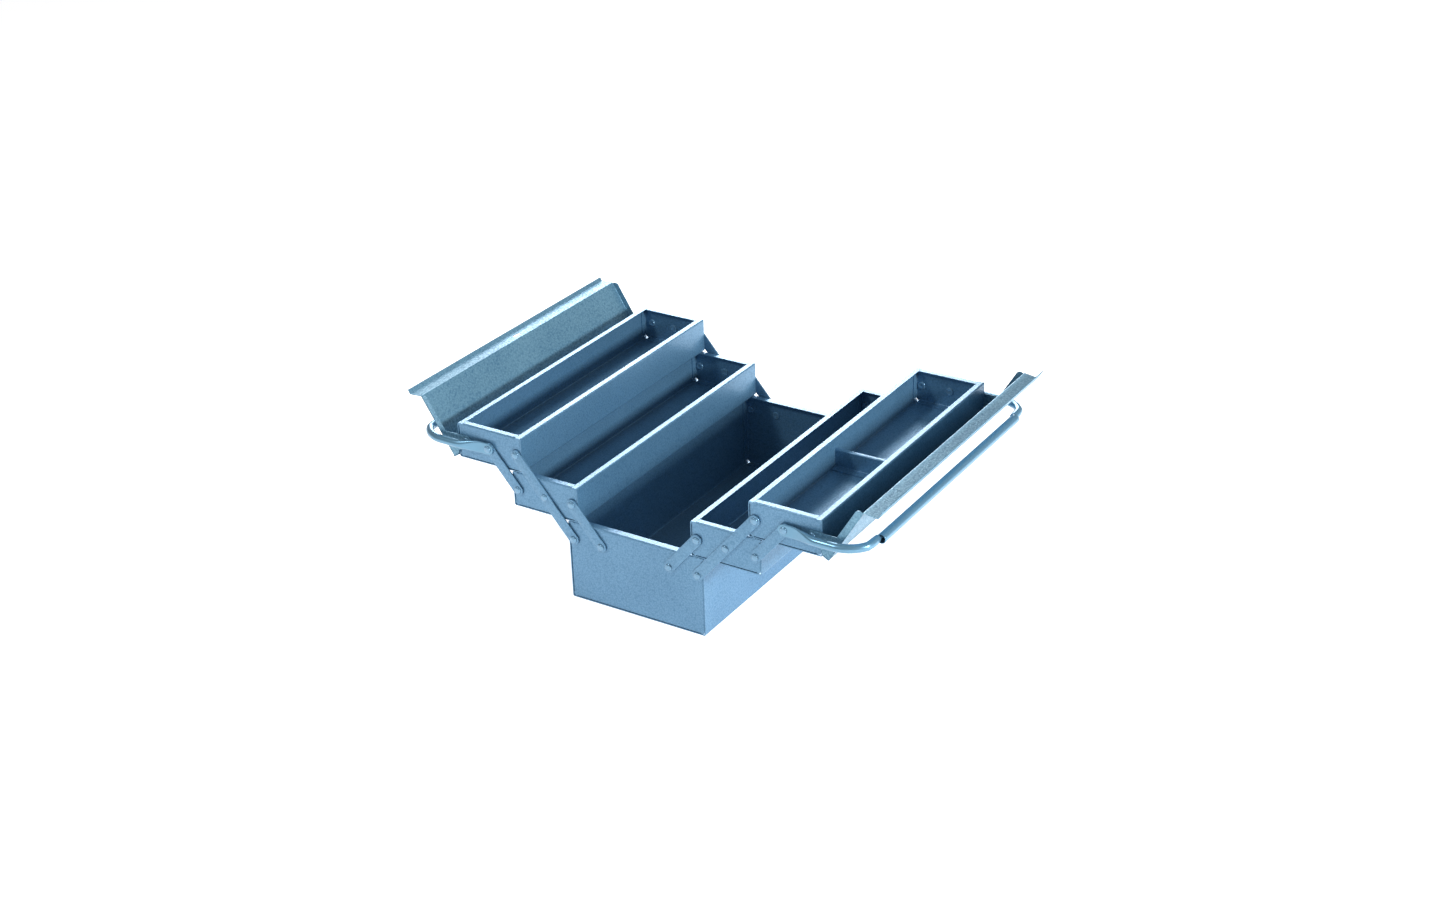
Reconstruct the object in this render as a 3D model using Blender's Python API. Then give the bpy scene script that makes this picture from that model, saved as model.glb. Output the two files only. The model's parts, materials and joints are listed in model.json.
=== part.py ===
"""Five-compartment cantilever toolbox, opened out, with two lids and two bail handles.

Frame: +X across the box, +Y along it, +Z up, metres. The base stands on z = 0.
Every moving sub-part has its origin on the axis it turns about.
"""
import math

import bmesh
import bpy
from mathutils import Matrix, Vector

# ---- sheet and clearances -------------------------------------------------
SHEET = 0.0012            # thickness of the folded steel sheet
GAP = 0.0003              # clearance between touching pieces
LEVEL_GAP = 0.0008        # air between a rim and the tray standing on it
BOX_LEN = 0.426           # outside length of the base and of every tray
HALF = BOX_LEN / 2.0

# ---- base and trays -------------------------------------------------------
BASE_W = 0.200            # outside width of the base, and of the closed box
BASE_H = 0.109
TRAY_H = 0.048
CENTRE_GAP = 0.0004       # closed tray to the centre line
TRAY_W = BASE_W / 2.0 - CENTRE_GAP
RIM = 0.008               # width of the flange folded inward round each top edge
CORNER = 0.0022           # outside bend radius of the folded corners
PITCH = TRAY_H + LEVEL_GAP

# ---- cantilever linkage ---------------------------------------------------
SHIFT = 0.083             # sideways travel of one level relative to the level below
ARM_RUN = SHIFT / 2.0     # half travel: horizontal reach of one arm link
PIVOT_INSET = 0.008       # outermost pivot to the side edge of base or tray
INNER_INSET = 0.0086      # innermost pivot of a tray to its inner edge
PIVOT_ROOM = TRAY_W - PIVOT_INSET - INNER_INSET
PIVOT_STEP = PIVOT_ROOM - max(ARM_RUN, PIVOT_ROOM / 2.0)   # neighbours, on either tray
ARM_W = 0.015
ARM_T = 0.002
ARM_Y = HALF + GAP        # inner face of the arm layer
BASE_PIVOT_Z = BASE_H - TRAY_H / 2.0
MID_PIVOT_Z = BASE_PIVOT_Z + PITCH
TOP_PIVOT_Z = MID_PIVOT_Z + PITCH

# ---- rivets ---------------------------------------------------------------
SHANK_R = 0.0025
HOLE_R = SHANK_R + GAP
HEAD_R = 0.0055
HEAD_T = 0.0018
TAIL_R = 0.0058
TAIL_T = 0.0014

# ---- lids: (u, w) = along the panel from the pivot, and out of the panel ---
LID_PIVOT_RISE = 0.0014   # lid pivot above the other pivots of the top tray
LID_PIVOT_Z = TOP_PIVOT_Z + LID_PIVOT_RISE
LID_SHEET = 0.0010
LID_OPEN = math.radians(121.5)
LEAN_C, LEAN_S = -math.cos(LID_OPEN), math.sin(LID_OPEN)
LID_RIM_GAP = 0.0005      # closed hinge flange to the tray's rim
LID_EDGE_INSET = 0.0005   # closed hinge edge inside the tray's outer wall
LID_LEAN_GAP = 0.00047    # open hinge flange to the tray's outer wall
LID_LIP_W = TRAY_H / 2.0 - LID_PIVOT_RISE + LID_RIM_GAP    # tip of the hinge flange
LID_TOP_W = LID_LIP_W + 0.0099                             # outer face of the panel
LID_INSET = (LID_LIP_W * LEAN_S + LID_EDGE_INSET * LEAN_C - LID_LEAN_GAP) / (1.0 + LEAN_C)
LID_HINGE_U = LID_EDGE_INSET - LID_INSET                   # outer edge of the panel
LID_CENTRE_U = BASE_W / 2.0 - LID_INSET                    # centre line of the closed box
LID_STEP_U = LID_CENTRE_U - 0.0117                         # foot of the raised step
LID_CHEEK = 0.0085        # depth of the folded end flange
LID_EAR_U = 0.0225        # where the pivot ear leaves the end flange
LID_EAR_R = 0.0070
LID_STEP_TOP = {"left": (LID_CENTRE_U - 0.0032, LID_TOP_W + 0.0160),
                "right": (LID_CENTRE_U - 0.0042, LID_TOP_W + 0.0175)}
LID_LIP_LEN = {"left": 0.0065, "right": 0.0145}
PADLOCK_HALF = (0.0075, 0.0032)

# ---- handles --------------------------------------------------------------
LID_TO_GRIP = 0.0720      # lid pivot to grip axis
HANDLE_REACH = ARM_RUN + PIVOT_INSET - LID_INSET + LID_TO_GRIP
BEND_R = 0.040
LEG_Y = HALF + 0.0100     # axis of the round part of a leg
LEG_R = 0.0054
NECK_R = 0.0026           # spigot that enters the mouth of the grip
CORE_R = 0.0050           # part of the bail inside the grip
END_R = 0.0080            # rounded end of the flattened part
END_T = 0.0024
END_Y = ARM_Y + ARM_T + GAP
GRIP_R = 0.0062
GRIP_BORE = 0.0053
MOUTH_GAP = 0.0025        # end of a leg's bend to the mouth of the grip
GRIP_HALF = LEG_Y - BEND_R - MOUTH_GAP

# ---- divider --------------------------------------------------------------
DIVIDER_Y = -0.007
DIVIDER_H = 0.024
DIVIDER_FOOT = 0.013

SIDES = {"left": -1.0, "right": 1.0}
ENDS = {"front": -1.0, "rear": 1.0}


# ---------------------------------------------------------------------------
# helpers
# ---------------------------------------------------------------------------
def clear_scene():
    """Remove the start-up objects."""
    for ob in list(bpy.data.objects):
        bpy.data.objects.remove(ob, do_unlink=True)


def paint(name, colour, roughness, metallic=0.30):
    """One painted-steel material."""
    mat = bpy.data.materials.new(name)
    mat.use_nodes = True
    bsdf = mat.node_tree.nodes["Principled BSDF"]
    bsdf.inputs["Base Color"].default_value = (*colour, 1.0)
    bsdf.inputs["Roughness"].default_value = roughness
    bsdf.inputs["Metallic"].default_value = metallic
    return mat


def finish(bm, name, mat, origin=(0.0, 0.0, 0.0), smooth=False):
    """Turn a bmesh in world coordinates into an object whose origin is `origin`."""
    bmesh.ops.remove_doubles(bm, verts=bm.verts, dist=1e-7)
    bmesh.ops.recalc_face_normals(bm, faces=bm.faces)
    at = Vector(origin)
    bmesh.ops.translate(bm, verts=bm.verts, vec=-at)
    for face in bm.faces:
        face.smooth = smooth
    mesh = bpy.data.meshes.new(name)
    bm.to_mesh(mesh)
    bm.free()
    mesh.materials.append(mat)
    ob = bpy.data.objects.new(name, mesh)
    ob.location = at
    bpy.context.scene.collection.objects.link(ob)
    return ob


def skin(bm, loops, close_ends=True):
    """Join equal closed loops of points with quads and cap both ends."""
    rings = [[bm.verts.new(p) for p in loop] for loop in loops]
    count = len(rings[0])
    for low, high in zip(rings, rings[1:]):
        for i in range(count):
            j = (i + 1) % count
            bm.faces.new((low[i], low[j], high[j], high[i]))
    if close_ends:
        bm.faces.new(list(reversed(rings[0])))
        bm.faces.new(rings[-1])


def rounded_rect(x0, x1, y0, y1, radius, z, steps=2):
    """Closed loop of points round a rectangle with rounded corners."""
    centres = ((x1 - radius, y1 - radius, 0.0), (x0 + radius, y1 - radius, 90.0),
               (x0 + radius, y0 + radius, 180.0), (x1 - radius, y0 + radius, 270.0))
    loop = []
    for cx, cy, start in centres:
        for k in range(steps + 1):
            a = math.radians(start + 90.0 * k / steps)
            loop.append((cx + radius * math.cos(a), cy + radius * math.sin(a), z))
    return loop


def cylinders_y(name, points, radius, y0, y1, segments=16):
    """Cutter: closed cylinders along Y through every (x, z) point."""
    bm = bmesh.new()
    for x, z in points:
        ring = [(x + radius * math.cos(2 * math.pi * i / segments),
                 z + radius * math.sin(2 * math.pi * i / segments)) for i in range(segments)]
        skin(bm, [[(a, y0, b) for a, b in ring], [(a, y1, b) for a, b in ring]])
    bmesh.ops.recalc_face_normals(bm, faces=bm.faces)
    mesh = bpy.data.meshes.new(name)
    bm.to_mesh(mesh)
    bm.free()
    ob = bpy.data.objects.new(name, mesh)
    bpy.context.scene.collection.objects.link(ob)
    return ob


def subtract(target, cutter):
    """Cut `cutter` out of `target` for good and remove the cutter."""
    mod = target.modifiers.new("cut", "BOOLEAN")
    mod.operation = "DIFFERENCE"
    mod.solver = "EXACT"
    mod.object = cutter
    bpy.context.view_layer.update()
    graph = bpy.context.evaluated_depsgraph_get()
    mesh = bpy.data.meshes.new_from_object(target.evaluated_get(graph))
    target.modifiers.clear()
    old = target.data
    target.data = mesh
    mesh.name = target.name
    bpy.data.meshes.remove(old)
    bpy.data.objects.remove(cutter, do_unlink=True)


def arc(cx, cz, radius, start, stop, steps):
    """Points on an arc in the XZ plane, angles in degrees."""
    out = []
    for k in range(steps + 1):
        a = math.radians(start + (stop - start) * k / steps)
        out.append((cx + radius * math.cos(a), cz + radius * math.sin(a)))
    return out


def plate(name, outline, holes, y0, y1, mat, origin):
    """Flat plate in an XZ outline with round holes, from y0 to y1."""
    bm = bmesh.new()
    edges = []
    loops = [outline] + [arc(x, z, HOLE_R, 0.0, 360.0 - 22.5, 15) for x, z in holes]
    for loop in loops:
        verts = [bm.verts.new((x, y0, z)) for x, z in loop]
        for i, vert in enumerate(verts):
            edges.append(bm.edges.new((vert, verts[(i + 1) % len(verts)])))
    bmesh.ops.triangle_fill(bm, edges=edges, use_beauty=True)
    grown = bmesh.ops.extrude_face_region(bm, geom=list(bm.faces))["geom"]
    moved = [g for g in grown if isinstance(g, bmesh.types.BMVert)]
    bmesh.ops.translate(bm, verts=moved, vec=(0.0, y1 - y0, 0.0))
    return finish(bm, name, mat, origin)


# ---------------------------------------------------------------------------
# linkage layout
# ---------------------------------------------------------------------------
def pivots(s):
    """XZ position of every pivot of one side, with the box open."""
    outer = BASE_W / 2.0 - PIVOT_INSET
    mid = outer - PIVOT_STEP + SHIFT
    return {
        "base_outer": (s * outer, BASE_PIVOT_Z),
        "base_inner": (s * (outer - PIVOT_STEP), BASE_PIVOT_Z),
        "mid_outer": (s * (mid + PIVOT_STEP), MID_PIVOT_Z),
        "mid_middle": (s * mid, MID_PIVOT_Z),
        "mid_inner": (s * (mid - PIVOT_STEP), MID_PIVOT_Z),
        "top_inner": (s * (mid + ARM_RUN), TOP_PIVOT_Z),
        "top_outer": (s * (mid + ARM_RUN + PIVOT_STEP), TOP_PIVOT_Z),
        "lid": (s * (BASE_W / 2.0 + 2.0 * SHIFT - LID_INSET), LID_PIVOT_Z),
    }


def span(level, s):
    """Side edges of a tray on level 1 (mid) or 2 (top), low x first."""
    outer = BASE_W / 2.0 + level * SHIFT
    edges = (s * (outer - TRAY_W), s * outer)
    return min(edges), max(edges)


# ---------------------------------------------------------------------------
# pieces
# ---------------------------------------------------------------------------
def pan(name, x0, x1, z0, height, holes, mat, origin):
    """Open sheet tray: floor, four walls and a rim flange folded inward."""
    top = z0 + height
    soft = CORNER * 0.5
    bare = SHEET
    loops = [
        rounded_rect(x0 + soft, x1 - soft, -HALF + soft, HALF - soft, CORNER - soft, z0),
        rounded_rect(x0, x1, -HALF, HALF, CORNER, z0 + soft),
        rounded_rect(x0, x1, -HALF, HALF, CORNER, top - soft * 0.6),
        rounded_rect(x0 + soft * 0.6, x1 - soft * 0.6, -HALF + soft * 0.6, HALF - soft * 0.6,
                     CORNER - soft * 0.6, top),
        rounded_rect(x0 + RIM, x1 - RIM, -HALF + RIM, HALF - RIM, 0.0004, top),
        rounded_rect(x0 + RIM, x1 - RIM, -HALF + RIM, HALF - RIM, 0.0004, top - bare),
        rounded_rect(x0 + bare, x1 - bare, -HALF + bare, HALF - bare, CORNER - bare, top - bare),
        rounded_rect(x0 + bare, x1 - bare, -HALF + bare, HALF - bare, CORNER - bare, z0 + bare),
    ]
    bm = bmesh.new()
    skin(bm, loops)
    ob = finish(bm, name, mat)
    subtract(ob, cylinders_y(name + "_cut", holes, HOLE_R, -HALF - 0.01, HALF + 0.01))
    at = Vector(origin)
    ob.data.transform(Matrix.Translation(-at))
    ob.location = at
    return ob


def arm(name, joints, end, mat, origin):
    """Straight link with round ends and one hole per pivot in `joints`."""
    (xa, za), (xb, zb) = joints[0], joints[-1]
    lean = math.degrees(math.atan2(zb - za, xb - xa))
    outline = (arc(xb, zb, ARM_W / 2.0, lean - 90.0, lean + 90.0, 8)
               + arc(xa, za, ARM_W / 2.0, lean + 90.0, lean + 270.0, 8))
    ys = sorted((end * ARM_Y, end * (ARM_Y + ARM_T)))
    return plate(name, outline, joints, ys[0], ys[1], mat, origin)


def rivet(name, place, end, stack, mat, origin):
    """Round-head rivet through the end wall and `stack` metres of links outside it."""
    x, z = place
    inner = HALF - SHEET - GAP
    outer = HALF + stack + GAP
    profile = [(0.0, inner - TAIL_T), (TAIL_R * 0.80, inner - TAIL_T), (TAIL_R, inner),
               (SHANK_R, inner), (SHANK_R, outer), (HEAD_R, outer),
               (HEAD_R * 0.72, outer + 0.8 * HEAD_T), (0.0, outer + HEAD_T)]
    segments = 12
    bm = bmesh.new()
    rings = []
    for radius, y in profile:
        if radius == 0.0:
            rings.append([bm.verts.new((x, end * y, z))])
            continue
        rings.append([bm.verts.new((x + radius * math.cos(2 * math.pi * i / segments), end * y,
                                    z + radius * math.sin(2 * math.pi * i / segments)))
                      for i in range(segments)])
    for low, high in zip(rings, rings[1:]):
        for i in range(segments):
            j = (i + 1) % segments
            if len(low) == 1:
                bm.faces.new((low[0], high[j], high[i]))
            elif len(high) == 1:
                bm.faces.new((low[i], low[j], high[0]))
            else:
                bm.faces.new((low[i], low[j], high[j], high[i]))
    return finish(bm, name, mat, origin, smooth=True)


def lid_point(s, u, w):
    """World XZ of a lid point given in lid coordinates, lid open."""
    px, pz = pivots(s)["lid"]
    c, k = math.cos(math.pi - LID_OPEN), math.sin(math.pi - LID_OPEN)
    return px + s * (u * c + w * k), pz + u * k - w * c


def lid(side, s, mat):
    """Folded lid sheet: hinge flange, panel, raised step and lip."""
    top_u, top_w = LID_STEP_TOP[side]
    tip_u = top_u + LID_LIP_LEN[side]
    t = LID_SHEET
    rise = math.atan2(top_w - LID_TOP_W, top_u - LID_STEP_U)
    turn = t * math.tan(rise / 2.0)
    outline = [(LID_HINGE_U, LID_LIP_W), (LID_HINGE_U, LID_TOP_W - 0.0008),
               (LID_HINGE_U + 0.0008, LID_TOP_W), (LID_STEP_U, LID_TOP_W), (top_u, top_w),
               (tip_u, top_w), (tip_u, top_w - t), (top_u + turn, top_w - t),
               (LID_STEP_U + turn, LID_TOP_W - t), (LID_HINGE_U + t, LID_TOP_W - t),
               (LID_HINGE_U + t, LID_LIP_W)]
    end = HALF + GAP + SHEET
    bm = bmesh.new()
    points = [lid_point(s, u, w) for u, w in outline]
    skin(bm, [[(x, y, z) for x, z in points] for y in (-end, end)])
    ob = finish(bm, "lid_" + side, mat)
    if side == "left":
        subtract(ob, padlock_cutter(s, top_u, top_w, rise, mat))
    px, pz = pivots(s)["lid"]
    ob.data.transform(Matrix.Translation((-px, 0.0, -pz)))
    ob.location = (px, 0.0, pz)
    return ob


def lid_cheek(side, s, end_name, mat):
    """End cheek under the lid sheet, with the ear that turns on the lid's pivot."""
    head = LID_TOP_W - LID_SHEET - GAP
    foot = LID_TOP_W - LID_CHEEK
    reach = math.hypot(LID_EAR_U, foot)
    tilt = math.degrees(math.atan2(foot, LID_EAR_U) - math.acos(LID_EAR_R / reach))
    hinge_u = LID_HINGE_U + LID_SHEET + GAP
    outline = [(hinge_u, head), (LID_STEP_U - 0.0005, head), (LID_STEP_U - 0.0050, foot),
               (LID_EAR_U, foot)]
    outline += arc(0.0, 0.0, LID_EAR_R, tilt, -180.0, 8)
    outline += [(-LID_EAR_R, LID_LIP_W - 0.0040), (hinge_u, LID_LIP_W)]
    place = pivots(s)["lid"]
    ys = sorted((ENDS[end_name] * (HALF + GAP), ENDS[end_name] * (HALF + GAP + SHEET)))
    points = [lid_point(s, u, w) for u, w in outline]
    name = "_".join(("lid_cheek", side, end_name))
    return plate(name, points, [place], ys[0], ys[1], mat, (place[0], 0.0, place[1]))


def padlock_cutter(s, top_u, top_w, rise, mat):
    """Oblong bar that cuts the padlock hole through the step."""
    cu, cw = (LID_STEP_U + top_u) / 2.0, (LID_TOP_W + top_w) / 2.0
    along = (math.cos(rise), math.sin(rise))
    out = (-math.sin(rise), math.cos(rise))
    half_y, half_s = PADLOCK_HALF
    loop = []
    for k in range(16):
        a = 2.0 * math.pi * k / 16
        shift = half_y - half_s if math.cos(a) > 0.0 else half_s - half_y
        loop.append((half_s * math.cos(a) + shift, half_s * math.sin(a)))
    rings = []
    for depth in (-0.004, 0.004):
        ring = []
        for y, v in loop:
            x, z = lid_point(s, cu + v * along[0] + depth * out[0], cw + v * along[1] + depth * out[1])
            ring.append((x, y, z))
        rings.append(ring)
    bm = bmesh.new()
    skin(bm, rings)
    return finish(bm, "padlock_cut", mat)


def section(centre, normal, half_n, half_z, square, segments=12):
    """Superellipse cross-section of the bail; `square` runs from 0 (round) to 1."""
    power = 1.0 - 0.45 * square
    ring = []
    for i in range(segments):
        a = 2.0 * math.pi * i / segments
        c, k = math.cos(a), math.sin(a)
        n = half_n * math.copysign(abs(c) ** power, c)
        v = half_z * math.copysign(abs(k) ** power, k)
        ring.append((centre[0] + normal[0] * n, centre[1] + normal[1] * n, centre[2] + v))
    return ring


def bail_half():
    """Stations (x, y, nx, ny, half_n, half_z, square) from the front end to mid grip."""
    flat_y = END_Y + END_T / 2.0
    rows = []
    for d in (0.0003, 0.0012, 0.0028, 0.0050, 0.0080):
        wide = math.sqrt(max(END_R ** 2 - (END_R - d) ** 2, 0.0))
        rows.append((d - END_R, -flat_y, 0.0, -1.0, END_T / 2.0, wide, 1.0))
    rows.append((0.0060, -flat_y, 0.0, -1.0, END_T / 2.0, END_R, 1.0))
    start, stop = 0.0110, 0.0300
    for k in range(7):
        t = k / 6.0
        blend = t * t * (3.0 - 2.0 * t)
        y = flat_y + (LEG_Y - flat_y) * blend
        rows.append((start + (stop - start) * t, -y, 0.0, -1.0,
                     END_T / 2.0 + (LEG_R - END_T / 2.0) * blend,
                     END_R + (LEG_R - END_R) * blend, 1.0 - blend))
    centre_x, centre_y = HANDLE_REACH - BEND_R, -LEG_Y + BEND_R
    for k in range(1, 9):
        a = math.radians(10.5 * k)
        rows.append((centre_x + BEND_R * math.sin(a), centre_y - BEND_R * math.cos(a),
                     math.sin(a), -math.cos(a), LEG_R, LEG_R, 0.0))
    mouth = -GRIP_HALF
    for y, radius in ((mouth - 0.0014, NECK_R), (mouth + 0.0080, NECK_R),
                      (mouth + 0.0100, CORE_R), (-0.060, CORE_R)):
        rows.append((HANDLE_REACH, y, 1.0, 0.0, radius, radius, 0.0))
    return rows


def bail(side, s, mat):
    """One-piece bail: flattened pivot ends, two legs, two bends and the core of the grip."""
    px, pz = pivots(s)["top_outer"]
    half = bail_half()
    rows = half + [(x, -y, nx, -ny, a, b, q) for x, y, nx, ny, a, b, q in reversed(half)]
    loops = [section((px + s * x, y, pz), (s * nx, ny), a, b, q) for x, y, nx, ny, a, b, q in rows]
    bm = bmesh.new()
    skin(bm, loops)
    name = "handle_" + side
    ob = finish(bm, name, mat, smooth=True)
    subtract(ob, cylinders_y(name + "_cut", [(px, pz)], HOLE_R, -HALF - 0.03, HALF + 0.03))
    ob.data.transform(Matrix.Translation((-px, 0.0, -pz)))
    ob.location = (px, 0.0, pz)
    return ob


def grip(side, s, mat):
    """Tubular grip sleeve round the straight part of the bail."""
    px, pz = pivots(s)["top_outer"]
    gx = px + s * HANDLE_REACH
    segments = 16
    ring = [(math.cos(2 * math.pi * i / segments), math.sin(2 * math.pi * i / segments))
            for i in range(segments)]
    stations = [(-GRIP_HALF, GRIP_BORE), (-GRIP_HALF, GRIP_R), (GRIP_HALF, GRIP_R),
                (GRIP_HALF, GRIP_BORE), (-GRIP_HALF, GRIP_BORE)]
    bm = bmesh.new()
    loops = [[(gx + r * c, y, pz + r * k) for c, k in ring] for y, r in stations]
    skin(bm, loops, close_ends=False)
    return finish(bm, "grip_" + side, mat, (px, 0.0, pz), smooth=False)


def divider(mat):
    """Low cross wall with a foot, standing in the right top tray."""
    x0, x1 = span(2, 1.0)
    floor = BASE_H + LEVEL_GAP + PITCH + SHEET + GAP
    x0, x1 = x0 + SHEET + GAP, x1 - SHEET - GAP
    t = 0.0010
    top = floor + DIVIDER_H
    outline = [(DIVIDER_Y, floor), (DIVIDER_Y, top - 0.0030), (DIVIDER_Y + 0.0010, top - 0.0030),
               (DIVIDER_Y + 0.0010, top), (DIVIDER_Y - t, top), (DIVIDER_Y - t, floor + t),
               (DIVIDER_Y - DIVIDER_FOOT, floor + t), (DIVIDER_Y - DIVIDER_FOOT, floor)]
    bm = bmesh.new()
    skin(bm, [[(x, y, z) for y, z in outline] for x in (x0, x1)])
    return finish(bm, "divider_top_right", mat, ((x0 + x1) / 2.0, DIVIDER_Y, floor))


def build_side(side, s, paints):
    """Trays, arms, rivets, lid and handle of one side."""
    body, link, cover, metal, bailed = paints
    at = pivots(s)
    z_mid = BASE_H + LEVEL_GAP
    z_top = z_mid + PITCH
    mid_axis = (at["mid_middle"][0], 0.0, at["mid_middle"][1])
    top_axis = (at["top_inner"][0], 0.0, at["top_inner"][1])
    pan("mid_tray_" + side, *span(1, s), z_mid, TRAY_H,
        [at["mid_outer"], at["mid_middle"], at["mid_inner"]], body, mid_axis)
    pan("top_tray_" + side, *span(2, s), z_top, TRAY_H,
        [at["top_inner"], at["top_outer"], at["lid"]], body, top_axis)
    links = {"long_arm": ("base_outer", "mid_middle", "top_inner"),
             "lower_arm": ("base_inner", "mid_inner"),
             "upper_arm": ("mid_outer", "top_outer")}
    single = ARM_T + GAP
    double = END_Y - HALF + END_T
    stacks = {key: single for key in at}
    stacks["top_outer"] = double
    stacks["lid"] = SHEET + GAP
    for end_name, end in ENDS.items():
        for link_name, keys in links.items():
            joints = [at[key] for key in keys]
            origin = (joints[0][0], 0.0, joints[0][1])
            arm("_".join((link_name, side, end_name)), joints, end, link, origin)
        for key, place in at.items():
            name = "_".join(("rivet", key, side, end_name))
            rivet(name, place, end, stacks[key], metal, (place[0], 0.0, place[1]))
        lid_cheek(side, s, end_name, cover)
    lid(side, s, cover)
    bail(side, s, bailed)
    grip(side, s, bailed)


def main():
    """Build the whole toolbox."""
    clear_scene()
    body = paint("hammer_paint_body", (0.125, 0.245, 0.405), 0.38)
    link = paint("hammer_paint_links", (0.155, 0.285, 0.450), 0.36)
    cover = paint("hammer_paint_lids", (0.190, 0.370, 0.480), 0.40)
    metal = paint("painted_rivets", (0.170, 0.300, 0.450), 0.32, 0.45)
    bailed = paint("handle_paint", (0.150, 0.330, 0.470), 0.28, 0.40)
    holes = [pivots(s)[key] for s in SIDES.values() for key in ("base_outer", "base_inner")]
    pan("base_tray", -BASE_W / 2.0, BASE_W / 2.0, 0.0, BASE_H, holes, body, (0.0, 0.0, 0.0))
    for side, s in SIDES.items():
        build_side(side, s, (body, link, cover, metal, bailed))
    divider(body)


main()
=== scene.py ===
"""Cantilever toolbox in hammered blue paint: every sheet, link, rivet and handle, dressed.

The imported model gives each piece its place. Here each piece gets its folded edges, bend
radii, domed rivet heads and paint. Lengths are metres, +X runs across the box, +Y along it.
"""
from __future__ import annotations

import json
import logging
import math
from dataclasses import dataclass
from enum import Enum

import bpy
import numpy as np
from mathutils import Matrix, Vector

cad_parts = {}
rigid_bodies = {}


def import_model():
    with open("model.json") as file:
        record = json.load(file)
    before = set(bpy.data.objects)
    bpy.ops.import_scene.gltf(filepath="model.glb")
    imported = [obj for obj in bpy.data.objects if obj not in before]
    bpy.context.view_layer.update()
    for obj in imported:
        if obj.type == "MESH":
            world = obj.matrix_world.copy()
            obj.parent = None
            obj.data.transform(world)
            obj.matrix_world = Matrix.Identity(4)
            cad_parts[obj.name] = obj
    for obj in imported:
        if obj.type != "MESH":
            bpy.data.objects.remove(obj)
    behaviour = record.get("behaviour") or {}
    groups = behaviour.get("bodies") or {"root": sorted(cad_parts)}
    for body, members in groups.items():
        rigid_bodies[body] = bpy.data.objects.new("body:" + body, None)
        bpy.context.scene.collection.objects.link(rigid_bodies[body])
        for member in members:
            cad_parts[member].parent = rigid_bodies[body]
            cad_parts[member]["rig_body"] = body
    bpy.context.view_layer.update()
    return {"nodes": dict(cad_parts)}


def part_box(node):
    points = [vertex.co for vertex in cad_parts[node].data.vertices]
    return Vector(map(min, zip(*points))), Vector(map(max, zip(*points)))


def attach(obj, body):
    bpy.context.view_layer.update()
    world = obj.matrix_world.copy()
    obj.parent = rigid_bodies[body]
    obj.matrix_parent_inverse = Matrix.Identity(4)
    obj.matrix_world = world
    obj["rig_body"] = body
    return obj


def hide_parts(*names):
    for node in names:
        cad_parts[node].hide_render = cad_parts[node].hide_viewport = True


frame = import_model()

log = logging.getLogger("toolbox")

FIT = 0.0003                    # air between two touching pieces
GUARD = 0.0004                  # narrow strip beside a bend that keeps the flats flat
ARC_STEP = math.radians(15.0)   # widest facet of a bend
SHARP = math.radians(32.0)      # an edge that turns further than this stays crisp
HAIR = 1e-6                     # two lengths closer than this are the same
QUARTER = math.pi / 2.0


class Side(Enum):
    """The two wings of the box, each valued by its direction along X."""

    LEFT = -1
    RIGHT = 1

    @property
    def label(self) -> str:
        """Name used in node and piece names."""
        return self.name.lower()


class End(Enum):
    """The two ends of the box, each valued by its direction along Y."""

    FRONT = -1
    REAR = 1

    @property
    def label(self) -> str:
        """Name used in node and piece names."""
        return self.name.lower()


# ---------------------------------------------------------------------------
# surfaces
# ---------------------------------------------------------------------------
class Shells:
    """Collects closed surfaces worked out as point grids and turns them into one object."""

    def __init__(self) -> None:
        """Start with no points and no faces."""
        self.points: list[np.ndarray] = []
        self.faces: list[list[int]] = []
        self.count = 0

    def add(self, points: np.ndarray, faces: list[list[int]]) -> None:
        """Add one closed shell, turned outside out by the sign of its volume.

        Each face is fanned from its first corner. The volume is a sixth of the sum, over
        the fan, of corner one dotted with the cross product of corners two and three.

        Args:
            points: (n, 3) positions.
            faces: corner numbers of every face, all wound the same way.
        """
        fan = np.array([(f[0], f[i], f[i + 1]) for f in faces for i in range(1, len(f) - 1)])
        a, b, c = points[fan[:, 0]], points[fan[:, 1]], points[fan[:, 2]]
        if np.einsum("ij,ij->i", a, np.cross(b, c)).sum() < 0.0:
            faces = [face[::-1] for face in faces]
        self.faces += [[i + self.count for i in face] for face in faces]
        self.points.append(points)
        self.count += len(points)

    def loft(self, rings: np.ndarray, hoop: bool = False) -> None:
        """Join closed rings of equal length into a shell.

        Args:
            rings: (rows, columns, 3) points, each row a closed ring.
            hoop: True joins the last ring to the first, False caps both ends.
        """
        rows, cols = rings.shape[:2]
        ends = [] if hoop else caps(rows, cols)
        self.add(rings.reshape(-1, 3), quads(rows, cols, hoop) + ends)

    def make(self, name: str, finish: "Paint", body: str, *nodes: str) -> bpy.types.Object:
        """Turn the shells into an object that rides on a body and wears a finish.

        Args:
            name: the piece's name.
            finish: its paint.
            body: the body that it rides on.
            nodes: the plain solids that it stands for.

        Returns:
            The finished object, at the origin.
        """
        mesh = bpy.data.meshes.new(name)
        mesh.from_pydata(np.concatenate(self.points), [], self.faces)
        mesh.shade_smooth()
        mesh.set_sharp_from_angle(angle=SHARP)
        mesh.materials.append(finish.material())
        piece = bpy.data.objects.new(name, mesh)
        bpy.context.scene.collection.objects.link(piece)
        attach(piece, body)
        if nodes:
            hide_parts(*nodes)
        log.info("%s: %d faces on %s", name, len(self.faces), body)
        return piece


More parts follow.
